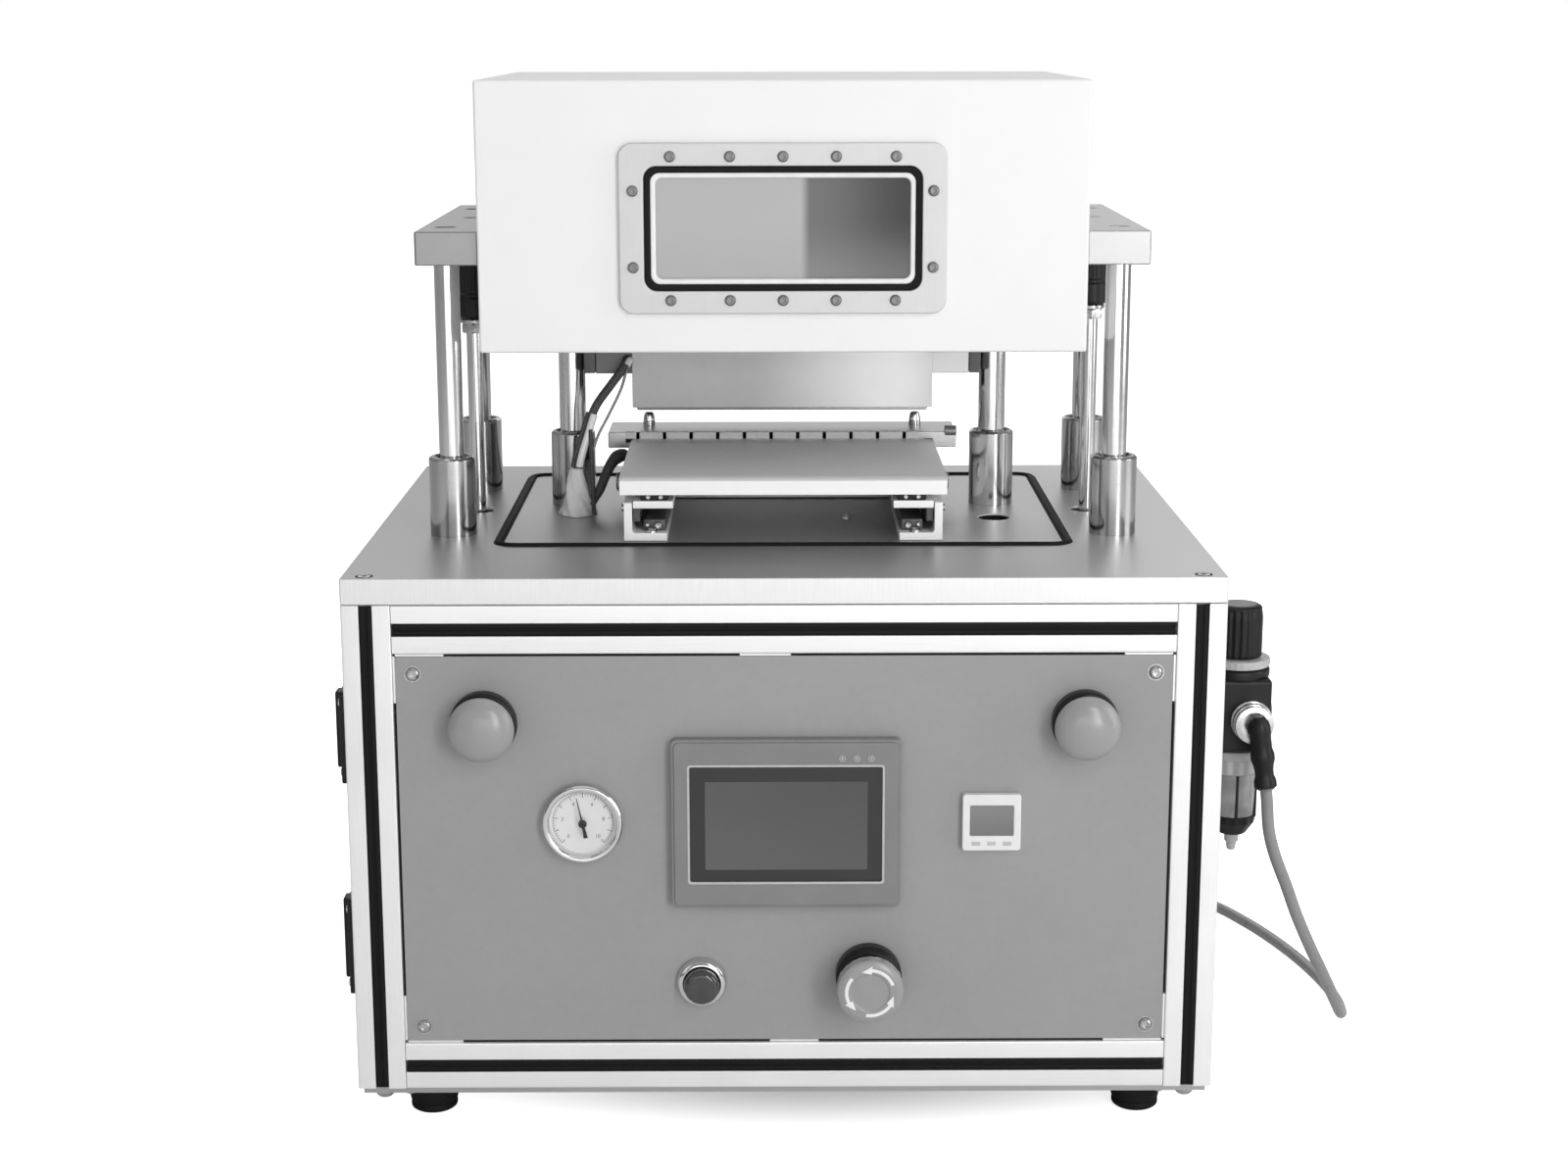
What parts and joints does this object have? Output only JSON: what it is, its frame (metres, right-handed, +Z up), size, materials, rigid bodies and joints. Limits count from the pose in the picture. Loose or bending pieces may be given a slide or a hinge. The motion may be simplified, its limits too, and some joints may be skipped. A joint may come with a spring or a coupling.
{
  "type": "vacuum heat-sealing press",
  "caption": "Benchtop vacuum heat-sealing press: a windowed chamber rides guide posts over sealing dies and a tray, on a framed cabinet with controls and an air regulator.",
  "frame": {"origin": "on the bench, under the middle of the machine's box without its hose", "axes": "+X to the machine's right seen from the front, +Y from the control panel to the back, +Z up"},
  "size_m": [0.6633, 0.5755, 0.637],
  "materials": {
    "anodised_extrusion": "satin clear anodised",
    "machined_aluminium": "machined and bead blasted",
    "satin_deck": "hard anodised satin grey",
    "brushed_steel": "brushed",
    "polished_steel": "ground and hard chromed",
    "white_coat": "white powder coat on machined aluminium",
    "grey_coat": "satin grey sheet",
    "black_plastic": "moulded",
    "dark_plastic": "fine moulded texture",
    "grey_plastic": "moulded",
    "white_plastic": "moulded",
    "black_rubber": "matte",
    "pale_sealant": "cured silicone",
    "clear_window": "clear",
    "grey_hose": "extruded, slightly translucent",
    "nickel_fitting": "nickel plated"
  },
  "bodies": {
    "root": {"cabinet_frame": "anodised_extrusion", "deck_plate": "satin_deck", "base_plate": "brushed_steel", "front_panel": "grey_coat", "right_panel": "grey_coat", "rear_panel": "grey_coat", "hinge_upper": "black_plastic", "hinge_lower": "black_plastic", "foot_front_left": "black_rubber", "foot_front_right": "black_rubber", "foot_rear_left": "black_rubber", "foot_rear_right": "black_rubber", "touchscreen": "dark_plastic", "gauge_case": "polished_steel", "pressure_display": "white_plastic", "palm_collar_left": "black_plastic", "palm_collar_right": "black_plastic", "start_bezel": "polished_steel", "stop_collar": "black_plastic", "regulator_body": "black_plastic", "regulator_bowl": "clear_window", "inlet_elbow": "black_plastic", "air_hose": "grey_hose", "hose_coil": "grey_hose", "hose_connector": "nickel_fitting", "chamber_seal": "black_rubber", "tray_bracket_left": "machined_aluminium", "tray_bracket_right": "machined_aluminium", "lower_die": "brushed_steel", "cable_seal": "pale_sealant", "head_cable": "black_rubber", "die_cable": "black_rubber", "lift_cylinder_left": "machined_aluminium", "lift_cylinder_right": "machined_aluminium", "press_cylinder": "machined_aluminium"},
    "chamber": {"chamber_box": "white_coat", "window_frame": "brushed_steel", "window_glass": "clear_window", "wing_left": "machined_aluminium", "wing_right": "machined_aluminium", "guide_post_left_front": "polished_steel", "guide_post_left_rear": "polished_steel", "guide_post_right_front": "polished_steel", "guide_post_right_rear": "polished_steel", "lift_rod_left": "polished_steel", "lift_rod_right": "polished_steel"},
    "press_head": {"crosshead": "brushed_steel", "press_post_left": "polished_steel", "press_post_right": "polished_steel", "upper_die": "brushed_steel", "press_yoke": "brushed_steel"},
    "tray_body": {"tray": "machined_aluminium"},
    "door": {"side_door": "grey_coat"},
    "palm_left": {"palm_button_left": "grey_plastic"},
    "palm_right": {"palm_button_right": "grey_plastic"},
    "start": {"start_button": "dark_plastic"},
    "stop_slide": {"stop_stem": "black_plastic"},
    "stop_turn": {"stop_head": "grey_plastic"},
    "pointer": {"gauge_pointer": "black_plastic"},
    "regulator_turn": {"regulator_knob": "black_plastic"}
  },
  "joints": [
    {"name": "chamber_lift", "type": "slide", "parent": "root", "child": "chamber", "axis": [0, 0, 1], "range_m": [-0.121, 0]},
    {"name": "seal_press", "type": "slide", "parent": "root", "child": "press_head", "axis": [0, 0, 1], "range_m": [-0.0145, 0], "deforming": ["head_cable"]},
    {"name": "tray_height", "type": "slide", "parent": "root", "child": "tray_body", "axis": [0, 0, 1], "range_m": [-0.005, 0.008]},
    {"name": "door_swing", "type": "hinge", "parent": "root", "child": "door", "pos_m": [-0.29295, -0.1575, 0.178], "axis": [0, 0, 1], "range_deg": [0, 110]},
    {"name": "palm_press_left", "type": "slide", "parent": "root", "child": "palm_left", "axis": [0, 1, 0], "range_m": [0, 0.0045], "stiffness_N_per_m": 900, "springref_m": -0.002},
    {"name": "palm_press_right", "type": "slide", "parent": "root", "child": "palm_right", "axis": [0, 1, 0], "range_m": [0, 0.0045], "stiffness_N_per_m": 900, "springref_m": -0.002},
    {"name": "start_press", "type": "slide", "parent": "root", "child": "start", "axis": [0, 1, 0], "range_m": [0, 0.003], "stiffness_N_per_m": 800, "springref_m": -0.002},
    {"name": "stop_push", "type": "slide", "parent": "root", "child": "stop_slide", "axis": [0, 1, 0], "range_m": [0, 0.004]},
    {"name": "stop_twist", "type": "hinge", "parent": "stop_slide", "child": "stop_turn", "pos_m": [0.02775, -0.1885, 0.0985], "axis": [0, 1, 0], "range_deg": [0, 45], "stiffness_Nm_per_rad": 0.05, "springref_deg": -11.46},
    {"name": "gauge_needle", "type": "hinge", "parent": "root", "child": "pointer", "pos_m": [-0.14615, -0.1885, 0.197], "axis": [0, 1, 0], "range_deg": [-123, 147], "stiffness_Nm_per_rad": 0.0002},
    {"name": "regulator_adjust", "type": "hinge", "parent": "root", "child": "regulator_turn", "pos_m": [0.27625, -0.0385, 0.26], "axis": [0, 0, 1], "range_deg": [-720, 720]}
  ]
}
